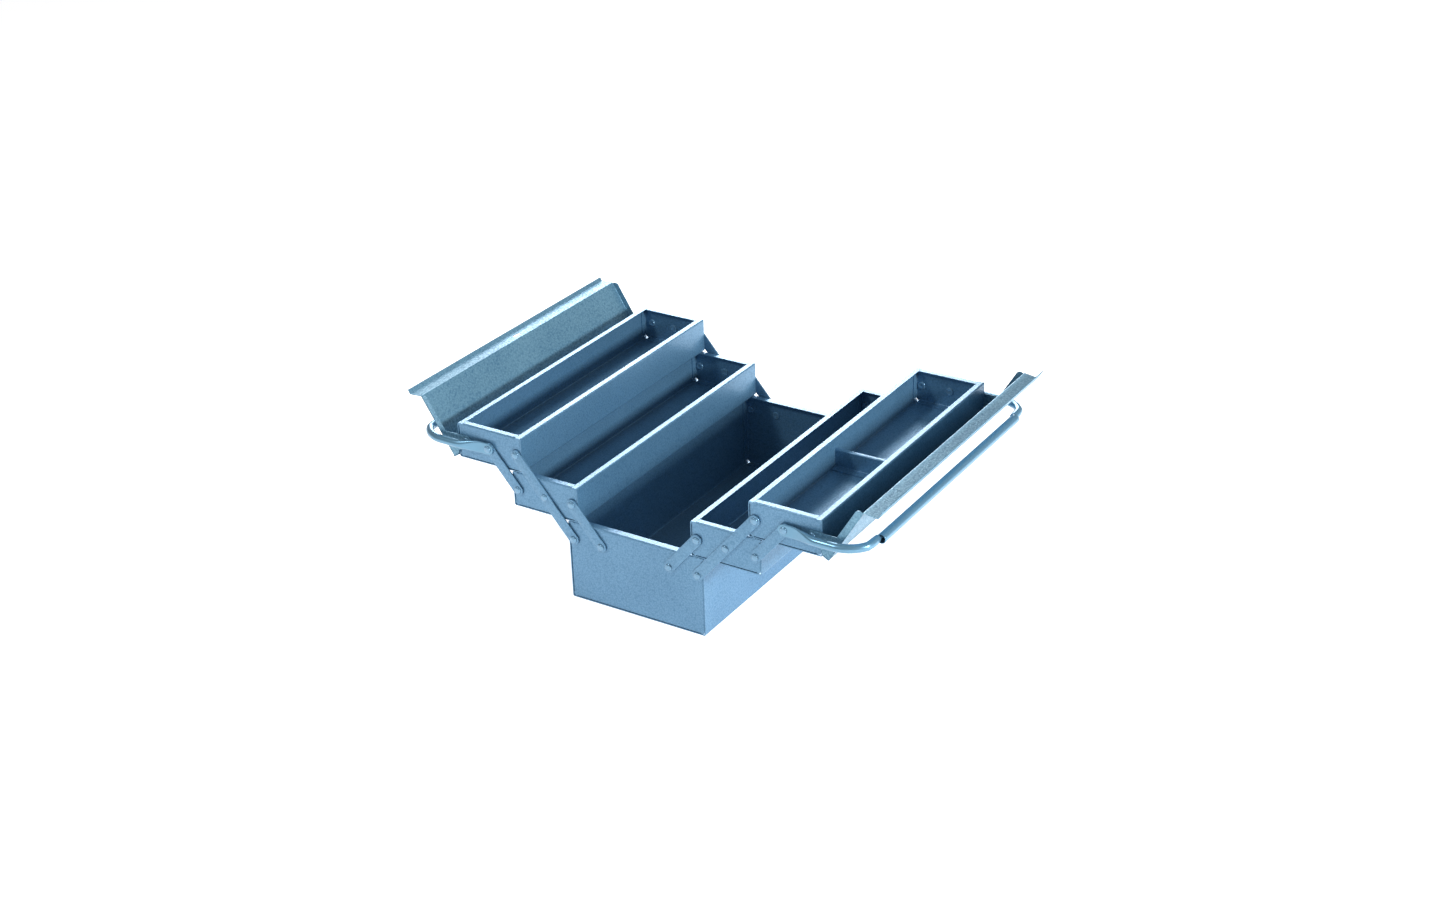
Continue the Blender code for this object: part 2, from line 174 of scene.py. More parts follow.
def quads(rows: int, cols: int, hoop: bool = False) -> list[list[int]]:
    """Four-cornered faces of a grid whose rows are closed rings.

    Corner numbers are row times the ring length plus column, both wrapped.

    Args:
        rows: number of rings.
        cols: points in a ring.
        hoop: True joins the last ring to the first as well.

    Returns:
        One list of four corners for each face, row by row.
    """
    r, c = np.meshgrid(np.arange(rows if hoop else rows - 1), np.arange(cols), indexing="ij")
    here, there = r * cols, (r + 1) % rows * cols
    nxt = (c + 1) % cols
    return np.stack([here + c, here + nxt, there + nxt, there + c], -1).reshape(-1, 4).tolist()


def caps(rows: int, cols: int) -> list[list[int]]:
    """The two many-sided faces that close the first and last ring of a grid."""
    return [list(range(cols))[::-1], list(range((rows - 1) * cols, rows * cols))]


def folded_line(corners: np.ndarray,
                radii: np.ndarray) -> tuple[np.ndarray, np.ndarray, list[int]]:
    """Walk a folded line whose corners are rounded by tangent arcs.

    At a corner that turns by angle a, the arc of radius r starts r tan(a / 2) before the
    corner. Along the arc the left normal turns steadily from one run's to the next's, and
    a point lies at the arc's centre minus r times that normal (plus r on a right turn).

    Args:
        corners: (n, 2) corner points, ends included.
        radii: (n,) bend radius at each corner; the two ends are not used.

    Returns:
        Points (m, 2), left normals (m, 2), and the first point's number of every run.
    """
    runs = np.diff(corners, axis=0)
    runs /= np.linalg.norm(runs, axis=1)[:, None]
    left = np.stack([-runs[:, 1], runs[:, 0]], -1)
    points, normals, starts = [corners[:1]], [left[:1]], [0]
    for i in range(1, len(corners) - 1):
        turn = math.atan2(np.cross(runs[i - 1], runs[i]), runs[i - 1] @ runs[i])
        back = radii[i] * abs(math.tan(turn / 2.0))
        steps = max(2, math.ceil(abs(turn) / ARC_STEP))
        start = math.atan2(left[i - 1, 1], left[i - 1, 0])
        angle = start + turn * np.linspace(0.0, 1.0, steps + 1)
        normal = np.stack([np.cos(angle), np.sin(angle)], -1)
        away = math.copysign(radii[i], turn)
        centre = corners[i] - runs[i - 1] * back + left[i - 1] * away
        before = corners[i] - runs[i - 1] * (back + GUARD)
        after = corners[i] + runs[i] * (back + GUARD)
        points += [before[None], centre - normal * away, after[None]]
        normals += [normal[:1], normal, normal[-1:]]
        starts.append(sum(map(len, points)) - 1)
    points.append(corners[-1:])
    normals.append(left[-1:])
    return np.concatenate(points), np.concatenate(normals), starts


def sheet_outline(points: np.ndarray, normals: np.ndarray, thickness: float) -> np.ndarray:
    """Closed outline of a folded sheet: the line, then back along it a thickness to its left."""
    return np.concatenate([points, (points + normals * thickness)[::-1]])


def along_y(outline: np.ndarray, stations: np.ndarray) -> np.ndarray:
    """Rings of an (x, z) outline carried along Y.

    Args:
        outline: (n, 2) x and z.
        stations: (m,) or (m, n) y of each ring, or of each of its points.

    Returns:
        (m, n, 3) points: x and z from the outline, y from the station.
    """
    y = np.broadcast_to(stations if stations.ndim == 2 else stations[:, None],
                        (len(stations), len(outline)))
    x, z = np.broadcast_to(outline[:, 0], y.shape), np.broadcast_to(outline[:, 1], y.shape)
    return np.stack([x, y, z], -1)


def turned_y(centre: tuple[float, float], radius: np.ndarray, y: np.ndarray,
             around: int) -> np.ndarray:
    """Rings of a profile turned about a line along Y.

    Args:
        centre: x and z of the line.
        radius: (n,) radius of each ring.
        y: (n,) place of each ring.
        around: points in a ring.

    Returns:
        (n, around, 3) points: x = cx + r cos a, z = cz + r sin a, over a full turn of a.
    """
    a = np.linspace(0.0, 2.0 * np.pi, around, endpoint=False)[None, :]
    x = centre[0] + radius[:, None] * np.cos(a)
    z = centre[1] + radius[:, None] * np.sin(a)
    return np.stack([x, np.broadcast_to(y[:, None], x.shape), z], -1)


def smoothstep(t: np.ndarray) -> np.ndarray:
    """Ease from 0 to 1 as 3 t squared minus 2 t cubed, held outside that."""
    t = np.clip(t, 0.0, 1.0)
    return t * t * (3.0 - 2.0 * t)


def signed_power(value: np.ndarray, power: float | np.ndarray) -> np.ndarray:
    """The size of a value raised to a power, with the value's own sign."""
    return np.sign(value) * np.abs(value) ** power


def middle(node: str) -> tuple[float, float]:
    """X and z of the middle of a node's box, such as a rivet's axis."""
    low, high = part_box(node)
    return (low.x + high.x) / 2.0, (low.z + high.z) / 2.0


# ---------------------------------------------------------------------------
# finishes
# ---------------------------------------------------------------------------
CELL_SMOOTHNESS = 0.6       # how far the cells' walls are rounded
CELL_SCATTER = 0.9          # how unevenly the cells lie
FINE_PER_CELL = 1.6         # lumps of fine noise in the length of a cell
FINE_DETAIL = 3.0
FINE_SHARE = 0.35           # share of the fine noise in the skin
SKIN_SPAN = (0.15, 0.75)    # part of the skin's height that the tone is spread over
DRIFT_PER_METRE = 14.0      # lumps of the slow noise in a metre
DRIFT_DETAIL = 2.0
DRIFT_SHARE = 0.35          # share of the slow noise in the tone
RAMP_ENDS = (0.15, 0.85)    # tones that are wholly colour and wholly shade
GLOSS_GAIN = 0.2            # roughness lost on a crest, for each unit of dimple
GLOSS_LOSS = 0.3            # roughness gained in a wall, for each unit of dimple
BUMP_PER_CELL = 0.16        # height of the skin in cell sizes
COAT_ROUGHNESS = 0.18


@dataclass(frozen=True)
class Paint:
    """Metallic paint with the dimpled skin that hammer finish dries to.

    `colour` lies on a cell's middle and `shade` in its wall, `cell` is the size of a cell
    and `dimple` the strength of the skin.
    """

    name: str
    slot: str
    colour: tuple[float, float, float]
    shade: tuple[float, float, float]
    cell: float = 0.0022
    dimple: float = 0.46
    metallic: float = 0.45
    roughness: float = 0.36
    coat: float = 0.20

    def material(self) -> bpy.types.Material:
        """Return this finish's material, built once.

        Rounded cells of one size set the dimples, broken up by a finer noise. Cell walls
        are darker and duller than cell middles, and a slow noise drifts the colour.

        Returns:
            The material, shared by every piece that wears this finish.
        """
        ready = bpy.data.materials.get(self.name)
        if ready:
            return ready
        mat = bpy.data.materials.new(self.name)
        mat.use_nodes = True
        tree = mat.node_tree
        shader = tree.nodes["Principled BSDF"]
        place = self.node(tree, "ShaderNodeTexCoord").outputs["Object"]
        cells = self.node(tree, "ShaderNodeTexVoronoi",
                          {"Scale": 1.0 / self.cell, "Smoothness": CELL_SMOOTHNESS,
                           "Randomness": CELL_SCATTER}, feature="SMOOTH_F1")
        fine = self.node(tree, "ShaderNodeTexNoise",
                         {"Scale": FINE_PER_CELL / self.cell, "Detail": FINE_DETAIL})
        slow = self.node(tree, "ShaderNodeTexNoise",
                         {"Scale": DRIFT_PER_METRE, "Detail": DRIFT_DETAIL})
        for texture in (cells, fine, slow):
            tree.links.new(place, texture.inputs["Vector"])
        skin = self.mix(tree, cells.outputs["Distance"], fine.outputs["Fac"], FINE_SHARE)
        tone = self.node(tree, "ShaderNodeMapRange",
                         {"From Min": SKIN_SPAN[0], "From Max": SKIN_SPAN[1]})
        tree.links.new(skin, tone.inputs["Value"])
        drift = self.mix(tree, tone.outputs["Result"], slow.outputs["Fac"], DRIFT_SHARE)
        ramp = self.node(tree, "ShaderNodeValToRGB")
        ends = zip(ramp.color_ramp.elements, RAMP_ENDS, (self.colour, self.shade))
        for stop, position, paint in ends:
            stop.position = position
            stop.color = (*paint, 1.0)
        tree.links.new(drift, ramp.inputs["Fac"])
        tree.links.new(ramp.outputs["Color"], shader.inputs["Base Color"])
        dull = self.node(tree, "ShaderNodeMapRange",
                         {"To Min": self.roughness - GLOSS_GAIN * self.dimple,
                          "To Max": self.roughness + GLOSS_LOSS * self.dimple})
        tree.links.new(drift, dull.inputs["Value"])
        tree.links.new(dull.outputs["Result"], shader.inputs["Roughness"])
        bump = self.node(tree, "ShaderNodeBump",
                         {"Strength": self.dimple, "Distance": self.cell * BUMP_PER_CELL},
                         invert=True)
        tree.links.new(skin, bump.inputs["Height"])
        tree.links.new(bump.outputs["Normal"], shader.inputs["Normal"])
        shader.inputs["Metallic"].default_value = self.metallic
        shader.inputs["Coat Weight"].default_value = self.coat
        shader.inputs["Coat Roughness"].default_value = COAT_ROUGHNESS
        return mat

    @staticmethod
    def node(tree: bpy.types.NodeTree, kind: str, inputs: dict[str, float] | None = None,
             **settings: object) -> bpy.types.Node:
        """Add a node to a material.

        Args:
            tree: the material's nodes.
            kind: the node's type.
            inputs: values of its inputs, by name.
            settings: its own settings, by name.

        Returns:
            The node.
        """
        made = tree.nodes.new(kind)
        for key, value in settings.items():
            setattr(made, key, value)
        for key, value in (inputs or {}).items():
            made.inputs[key].default_value = value
        return made

    @classmethod
    def mix(cls, tree: bpy.types.NodeTree, first: bpy.types.NodeSocket,
            second: bpy.types.NodeSocket, share: float) -> bpy.types.NodeSocket:
        """Blend two single-value outputs: first times (1 - share) plus second times share.

        Args:
            tree: the material's nodes.
            first: one output.
            second: the other output.
            share: share of the second.

        Returns:
            The blend's output.
        """
        made = cls.node(tree, "ShaderNodeMix", {"Factor": share})
        tree.links.new(first, made.inputs["A"])
        tree.links.new(second, made.inputs["B"])
        return made.outputs["Result"]


BODY_PAINT = Paint("hammered_body_paint", "body",
                   (0.136, 0.292, 0.452), (0.066, 0.178, 0.300))
LINK_PAINT = Paint("hammered_link_paint", "links",
                   (0.146, 0.302, 0.458), (0.074, 0.190, 0.314))
# The lids wear the same paint as the body. Their colour is painted brighter and more teal than
# the body's, a painted highlight that stands in for the light falling on the lid panels; the
# darker dimple contrast is the finish's own pattern.
LID_PAINT_PAINTED_LIGHT = Paint("hammered_lid_paint", "lids", (0.195, 0.385, 0.510), (0.062, 0.172, 0.275),
                  cell=0.0026, dimple=0.70, roughness=0.40, coat=0.05)
HANDLE_PAINT = Paint("handle_paint", "handles", (0.128, 0.280, 0.408), (0.124, 0.272, 0.398),
                     cell=0.0030, dimple=0.0, metallic=0.60, roughness=0.28, coat=0.20)
RIVET_PAINT = Paint("rivet_paint", "rivets", (0.150, 0.305, 0.450), (0.130, 0.275, 0.415),
                    cell=0.0030, dimple=0.03, roughness=0.22, coat=0.45)


# ---------------------------------------------------------------------------
# trays
# ---------------------------------------------------------------------------
@dataclass
class Tray:
    """A trough folded from one sheet, closed by a flanged panel at each end.

    `rim` and `end_rim` are the widths of the rims along the sides and across the ends, and
    `lap` the width of a panel's flanges inside the trough. `relief` is the radius cut off
    its lower corners, `recess` how far it stands in from the trough's end, `notch` the
    plain edge under each rim, and `pinch` how far plain edges are drawn in at both faces.
    """

    node: str
    body: str
    end_rim: float = 0.0085
    sheet: float = 0.0012
    rim: float = 0.0080
    rim_bend: float = 0.0018
    floor_bend: float = 0.0024
    lap: float = 0.0110
    panel_bend: float = 0.0019
    relief: float = 0.0052
    recess: float = 0.0002
    notch: float = 0.0020
    pinch: float = 0.00025
    plain_share: float = 0.8
    relief_rows: int = 7
    bend_rows: int = 6

    def __post_init__(self) -> None:
        """Read the tray's place from its node."""
        self.low, self.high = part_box(self.node)

    def trough(self) -> bpy.types.Object:
        """Floor, two side walls and two rims: one folded line carried along Y.

        Returns:
            The trough, in place of the tray's plain solid.
        """
        lo, hi, tip = self.low, self.high, self.rim
        corners = np.array([(lo.x + tip, hi.z), (lo.x, hi.z), (lo.x, lo.z),
                            (hi.x, lo.z), (hi.x, hi.z), (hi.x - tip, hi.z)])
        bends = [self.rim_bend, self.floor_bend]
        radii = np.array([0.0, *bends, *bends[::-1], 0.0])
        points, normals, _ = folded_line(corners, radii)
        shells = Shells()
        shells.loft(along_y(sheet_outline(points, normals, self.sheet), np.array([lo.y, hi.y])))
        return shells.make(self.node + ".trough", BODY_PAINT, self.body, self.node)

    def panel_edge(self) -> tuple[np.ndarray, np.ndarray, np.ndarray]:
        """Outline of an end panel, half worked out and mirrored.

        The panel fills the trough. Its top flange stands between the side rims and its
        corners are cut back under them; a quarter circle is cut off each lower corner.

        Returns:
            Points (n, 2) from the panel's middle line, outward directions (n, 2), and
            (n,) 1 where the edge is flanged and 0 where it is plain.
        """
        lo, hi, cut = self.low, self.high, FIT
        snug, half_width = self.sheet + FIT / 3.0, (hi.x - lo.x) / 2.0
        wide, tip = half_width - snug, half_width - self.rim - FIT
        under, foot = hi.z - snug, lo.z + snug
        turn = np.linspace(0.0, -QUARTER, self.relief_rows)
        radial = np.stack([np.cos(turn), np.sin(turn)], -1)
        mid = np.array([wide - self.relief, foot + self.relief])
        head = np.array([(tip - cut, hi.z), (tip, hi.z), (tip, under), (wide, under),
                         (wide, under - self.notch), (wide, under - self.notch - cut),
                         (wide, mid[1] + cut)])
        tail = np.array([(mid[0] - cut, foot)])
        half = np.concatenate([head, mid + self.relief * radial, tail])
        out = np.concatenate([[(0, 1), (1, 1), (1, 1), (1, 1), (1, 0), (1, 0), (1, 0)],
                              radial, [(0, -1)]])
        flanged = np.array([1, 0, 0, 0, 0, 1, 1] + [0] * len(turn) + [1], float)
        flip = np.array([-1.0, 1.0])
        return (np.concatenate([half, half[::-1] * flip]),
                np.concatenate([out, out[::-1] * flip]),
                np.concatenate([flanged, flanged[::-1]]))

    def end_panel(self, end: End) -> bpy.types.Object:
        """One end panel with flanges folded inward along its top, sides and bottom.

        Every ring is the panel's outline moved inward by `a` and along Y by `b`. Where the
        edge is flanged, (a, b) goes round the outer bend, out to the flange's tip, back
        along its other face and round the inner bend. Where it is plain, (a, b) only
        crosses the sheet's thickness, drawn in by a pinch at both faces.

        Args:
            end: which end of the tray the panel closes.

        Returns:
            The panel.
        """
        edge, out, flanged = self.panel_edge()
        r, t = self.panel_bend, self.sheet
        q = np.linspace(0.0, QUARTER, self.bend_rows)
        top = np.abs(edge[:, 1] - self.high.z) < t / 2.0
        depth = np.where(top, self.end_rim, self.lap)
        ones = np.ones_like(depth)
        root, tight = (r + GUARD) * ones, r - t
        outer = [(r * (1 - math.sin(k)) * ones, r * (1 - math.cos(k)) * ones) for k in q]
        inner = [((r - tight * math.sin(k)) * ones, (r - tight * math.cos(k)) * ones)
                 for k in q[::-1]]
        folded = [(root, 0.0 * ones), *outer, (0.0 * ones, root), (0.0 * ones, depth),
                  (t * ones, depth), (t * ones, root), *inner, (root, t * ones)]
        half = 3 + len(q)
        rest = len(folded) - half
        plain_a = np.concatenate([[self.pinch], np.zeros(half - 1),
                                  np.linspace(0.0, self.pinch, rest)])
        plain_b = np.concatenate([[0.0], np.linspace(0.0, t * self.plain_share, half - 1),
                                  np.full(rest, t)])
        a = np.array([f[0] for f in folded]) * flanged + plain_a[:, None] * (1.0 - flanged)
        b = np.array([f[1] for f in folded]) * flanged + plain_b[:, None] * (1.0 - flanged)
        face = self.high.y - self.recess if end is End.REAR else self.low.y + self.recess
        cx = (self.low.x + self.high.x) / 2.0
        rings = np.stack([cx + edge[:, 0] - out[:, 0] * a, face - end.value * b,
                          edge[:, 1] - out[:, 1] * a], -1)
        shells = Shells()
        shells.loft(rings)
        return shells.make(f"{self.node}.end_panel_{end.label}", BODY_PAINT, self.body)

    def build(self) -> None:
        """Make the trough and both end panels."""
        self.trough()
        for end in End:
            self.end_panel(end)


@dataclass
class Divider:
    """Low cross wall with a folded top edge and a foot, set in the right top tray."""

    node: str = "divider_top_right"
    body: str = "top_tray_right"
    sheet: float = 0.0010
    foot: float = 0.0130
    hem: float = 0.0038
    foot_bend: float = 0.0016
    hem_bend: float = 0.0006

    def build(self) -> bpy.types.Object:
        """Foot, wall and folded top edge: one folded line in YZ carried along X.

        Returns:
            The divider, in place of its plain solid.
        """
        low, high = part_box(self.node)
        y, t = low.y + self.foot, self.sheet
        top = high.z - t
        corners = np.array([(low.y, low.z), (y, low.z), (y, top), (y + self.hem, top),
                            (y + self.hem, top - self.hem)])
        radii = np.array([0.0, self.foot_bend, self.hem_bend, self.hem_bend, 0.0])
        points, normals, _ = folded_line(corners, radii)
        outline = sheet_outline(points, normals, t)
        x = np.broadcast_to(np.array([low.x, high.x])[:, None], (2, len(outline)))
        rings = np.stack([x, np.broadcast_to(outline[:, 0], x.shape),
                          np.broadcast_to(outline[:, 1], x.shape)], -1)
        shells = Shells()
        shells.loft(rings)
        return shells.make(self.node + ".sheet", BODY_PAINT, self.body, self.node)


# ---------------------------------------------------------------------------
# linkage
# ---------------------------------------------------------------------------
@dataclass
class Arm:
    """Straight link with round ends, its edges eased by the paint."""

    node: str
    body: str
    first: str
    last: str
    ease: float = 0.0005
    end_points: int = 17
    ease_rows: int = 4

    def build(self) -> bpy.types.Object:
        """A stadium outline carried through the plate, drawn in at both faces.

        The outline at inset e is a half circle of radius w / 2 - e round each end pivot.
        The inset follows a quarter circle over the outermost `ease` of the thickness.

        Returns:
            The link, in place of its plain solid.
        """
        low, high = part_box(self.node)
        a, b = np.array(middle(self.first)), np.array(middle(self.last))
        reach = b - a
        length = np.linalg.norm(reach)
        wide = (high.x - low.x - abs(reach[0])) / 2.0
        lean = math.atan2(reach[1], reach[0])
        turn = np.linspace(-QUARTER, QUARTER, self.end_points)
        far = np.repeat([length, 0.0], self.end_points)
        angle = lean + np.concatenate([turn, turn + np.pi])
        quarter = np.linspace(0.0, QUARTER, self.ease_rows)
        inset = (1.0 - np.sin(np.concatenate([quarter, quarter[::-1]]))) * self.ease
        rise = (1.0 - np.cos(quarter)) * self.ease
        y = np.concatenate([low.y + rise, high.y - rise[::-1]])
        axis = reach / length
        radius = wide - inset[:, None]
        x = a[0] + axis[0] * far + radius * np.cos(angle)
        z = a[1] + axis[1] * far + radius * np.sin(angle)
        shells = Shells()
        shells.loft(np.stack([x, np.broadcast_to(y[:, None], x.shape), z], -1))
        return shells.make(self.node + ".link", LINK_PAINT, self.body, self.node)


@dataclass
class Rivet:
    """Solid rivet: a domed head outside and a peened, dimpled tail inside.

    `head`, `shank` and `tail` are radii. `rim` is the height of the head's edge and `pip`
    the flat at the tail's middle. The other shares are told where they are used.
    """

    node: str
    end: End
    shank: float = 0.0025
    head: float = 0.0047
    head_t: float = 0.0018
    tail: float = 0.0058
    tail_t: float = 0.0014
    rim: float = 0.0002
    pip: float = 0.0004
    dimple_floor: float = 0.42
    dimple_edge: float = 0.12
    tail_edge: float = 0.12
    lean: float = 1.4
    swell: float = 0.6
    crown: float = 0.97
    dome_rows: int = 10
    tail_rows: int = 12
    around: int = 40

    def build(self) -> bpy.types.Object:
        """A profile turned about the rivet's axis.

        The head is half an ellipse, radius times cos q and height times sin q, and the
        cosine stops at `crown` of a quarter turn so that its top is a small flat. At share
        s of the tail's radius the tail stands at the dimple's floor plus the rest of the
        height times sin(pi s to the power `lean`) to the power `swell`. Inside
        `dimple_edge` it is level, and its outer edge is thinned to `tail_edge`.

        Returns:
            The rivet, in place of its plain solid.
        """
        low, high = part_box(self.node)
        span = high.y - low.y
        q = np.linspace(0.0, QUARTER, self.dome_rows)
        s = np.linspace(0.0, 1.0, self.tail_rows)
        tail_r = self.pip + (self.tail - self.pip) * s
        bulge = np.sin(np.pi * np.clip(s, self.dimple_edge, 1.0) ** self.lean) ** self.swell
        tail_h = self.tail_t * (self.dimple_floor + (1.0 - self.dimple_floor) * bulge)
        tail_h[-1] = self.tail_edge * self.tail_t
        dome_r = self.head * np.cos(q * self.crown)
        dome_h = self.rim + (self.head_t - self.rim) * np.sin(q)
        seat = span - self.head_t
        radius = np.concatenate([tail_r, [self.tail, self.shank, self.shank, self.head], dome_r])
        depth = np.concatenate([self.tail_t - tail_h, [self.tail_t, self.tail_t, seat, seat],
                                seat + dome_h])
        outward = depth if self.end is End.REAR else -depth
        start = low.y if self.end is End.REAR else high.y
        shells = Shells()
        shells.loft(turned_y(middle(self.node), radius, start + outward, self.around))
        body = frame["nodes"][self.node]["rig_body"]
        return shells.make(self.node + ".head", RIVET_PAINT, body, self.node)


@dataclass
class Linkage:
    """Six arms and sixteen rivets of one wing."""

    side: Side

    def arms(self) -> None:
        """Long, lower and upper arms at both ends."""
        runs = {"long_arm": ("base_outer", "top_inner"), "lower_arm": ("base_inner", "mid_inner"),
                "upper_arm": ("mid_outer", "top_outer")}
        for end in End:
            for kind, (first, last) in runs.items():
                tail = f"{self.side.label}_{end.label}"
                node = f"{kind}_{tail}"
                body = frame["nodes"][node]["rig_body"]
                Arm(node, body, f"rivet_{first}_{tail}", f"rivet_{last}_{tail}").build()

    def rivets(self) -> None:
        """Every rivet of this wing, at both ends."""
        for end in End:
            tail = f"_{self.side.label}_{end.label}"
            for node in sorted(frame["nodes"]):
                if node.startswith("rivet_") and node.endswith(tail):
                    Rivet(node, end).build()


# ---------------------------------------------------------------------------
# lids
# ---------------------------------------------------------------------------
@dataclass
class Lid:
    """Folded lid: hinge flange, panel, raised step with a lip, and a cheek at each end.

    Shapes are drawn in (u, w): along the panel from the pivot, and out of the panel. The
    first fields are the top of the step, the lip's width and whether a padlock hole is cut.
    """

    side: Side
    step_top: tuple[float, float]
    lip: float
    padlock: bool
    opened: float = math.radians(121.5)
    sheet: float = 0.0010
    hinge_u: float = -0.0123
    lip_w: float = 0.0231
    top_w: float = 0.0330
    step_u: float = 0.0755
    cheek: float = 0.0085
    ear_u: float = 0.0225
    ear_r: float = 0.0070
    bend: float = 0.0018
    step_bend: float = 0.0008
    lip_bend: float = 0.0016
    cheek_gap: float = 0.0008
    cheek_round: float = 0.0052
    heel_drop: float = 0.0008
    ear_drop: float = 0.0040
    nick: float = 0.00003
    ear_rows: int = 25
    round_rows: int = 8
    bend_rows: int = 6
    hole: tuple[float, float] = (0.0075, 0.0032)
    hole_power: float = 0.7
    hole_points: int = 32

    def __post_init__(self) -> None:
        """Read the pivot and the outer face of the cheeks from the nodes."""
        self.node = f"lid_{self.side.label}"
        self.body = frame["nodes"][self.node]["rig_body"]
        self.pivot = middle(f"rivet_lid_{self.side.label}_front")
        self.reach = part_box(self.node)[1].y

    def world(self, u: np.ndarray, w: np.ndarray) -> tuple[np.ndarray, np.ndarray]:
        """X and z of (u, w): the pivot plus u along the opened panel and w square to it."""
        c, k = math.cos(math.pi - self.opened), math.sin(math.pi - self.opened)
        return (self.pivot[0] + self.side.value * (u * c + w * k), self.pivot[1] + u * k - w * c)

    def folded(self) -> tuple[np.ndarray, np.ndarray, list[int]]:
        """Outer face's folded line, from the hinge flange to the lip.

        Returns:
            Points (m, 2), normals into the sheet (m, 2), and the first point of every run.
        """
        top_u, top_w = self.step_top
        corners = np.array([(self.hinge_u, self.lip_w), (self.hinge_u, self.top_w),
                            (self.step_u, self.top_w), (top_u, top_w), (top_u + self.lip, top_w)])
        radii = np.array([0.0, self.bend, self.step_bend, self.lip_bend, 0.0])
        points, normals, starts = folded_line(corners, radii)
        return points, -normals, starts

    def sheet_shell(self) -> bpy.types.Object:
        """The folded sheet with both cheeks, and the padlock hole where the lid has one.

        The folded line's outline is carried along Y. Over the panel it stops a bend radius
        short of the cheek's face, where the cheek's own bend takes over.

        Returns:
            The lid, in place of its plain solid and those of its cheeks.
        """
        points, normals, starts = self.folded()
        outline = sheet_outline(points, normals, self.sheet)
        u, w = points.T
        flat = (w > self.top_w - HAIR) & (u > self.hinge_u + self.bend - HAIR)
        flat &= u < self.step_u - 1.5 * GUARD
        short = np.where(np.concatenate([flat, flat[::-1]]), self.bend, 0.0)
        slab = self.hole[0] * 2.0
        x, z = self.world(outline[:, 0], outline[:, 1])
        stations = np.stack([short - self.reach, np.full_like(short, -slab),
                             np.full_like(short, slab), self.reach - short])
        rings = along_y(np.stack([x, z], -1), stations)
        faces = quads(*rings.shape[:2]) + caps(*rings.shape[:2])
        cloud = rings.reshape(-1, 3)
        if self.padlock:
            cloud, faces = self.pierce(cloud, faces, starts[2], len(points))
        shells = Shells()
        shells.add(cloud, faces)
        for end in End:
            self.cheek_shell(shells, end)
        cheeks = [f"lid_cheek_{self.side.label}_{end.label}" for end in End]
        return shells.make(self.node + ".sheet", LID_PAINT_PAINTED_LIGHT, self.body, self.node, *cheeks)

    def pierce(self, cloud: np.ndarray, faces: list[list[int]], run: int,
               length: int) -> tuple[np.ndarray, list[list[int]]]:
        """Open the step's middle face and its back, and join them by an oblong hole.

        The hole's edge is a superellipse: half length times cos a to the hole's power along
        Y, and half width times sin a to the same power up the step. Each quarter of it fans
        to the nearest corner of the face.

        Args:
            cloud: points of the folded sheet, four rings of twice `length`.
            faces: its faces.
            run: number of the step's first point along the folded line.
            length: points along the folded line.

        Returns:
            The points and faces with the hole in them.
        """
        cols, n = 2 * length, self.hole_points
        front, back = cols + run, cols + cols - 2 - run
        a, b, c, d = front, front + 1, front + 1 + cols, front + cols
        e, f, g, h = back, back + 1, back + 1 + cols, back + cols
        gone = [[a, b, c, d], [e, f, g, h]]
        kept = [face for face in faces if face not in gone]
        angle = -QUARTER - 2.0 * np.pi * np.arange(n) / n
        along = self.hole[0] * signed_power(np.cos(angle), self.hole_power)
        up = self.hole[1] * signed_power(np.sin(angle), self.hole_power)
        rise = cloud[b] - cloud[a]
        rise /= np.linalg.norm(rise)
        rims = []
        for corners in (gone[0], gone[1]):
            centre = cloud[corners].mean(0)
            rims.append(centre + up[:, None] * rise + along[:, None] * np.array([0.0, 1.0, 0.0]))
        first, second = len(cloud), len(cloud) + n
        outer = [first + k for k in range(n)]
        inner = [second + (n // 2 - k) % n for k in range(n)]
        for corners, rim in ((gone[0], outer), (gone[1], inner)):
            for q in range(4):
                stop = (q + 1) * n // 4
                kept.append([corners[q], corners[(q + 1) % 4], rim[stop % n]])
                kept += [[corners[q], rim[(k + 1) % n], rim[k]] for k in range(q * n // 4, stop)]
        kept += [[first + k, first + (k + 1) % n, second + (k + 1) % n, second + k]
                 for k in range(n)]
        return np.concatenate([cloud, *rims]), kept

    def cheek_line(self) -> tuple[np.ndarray, np.ndarray]:
        """Lower edge of a cheek from hinge to step: heel, ear round the pivot, then a band.

        The ear is an arc about the pivot that ends where a straight edge from the band
        touches it. The band ends in a quarter ellipse.

        Returns:
            u and w of every point.
        """
        r = self.ear_r
        band = self.top_w - self.cheek
        tilt = math.atan2(band, self.ear_u) - math.acos(r / math.hypot(self.ear_u, band))
        turn = np.linspace(-math.pi, tilt, self.ear_rows)
        q = np.linspace(0.0, QUARTER, self.round_rows)
        soft = self.cheek_round
        bow = self.step_u - self.cheek_gap - soft
        high = self.top_w - self.bend - GUARD
        u = np.concatenate([[self.hinge_u + self.bend, -r - self.nick], r * np.cos(turn),
                            [self.ear_u, bow - GUARD], bow + soft * np.sin(q)])
        w = np.concatenate([[self.lip_w - self.heel_drop, self.lip_w - self.ear_drop],
                            r * np.sin(turn), [band, band], high - (high - band) * np.cos(q)])
        return u, w

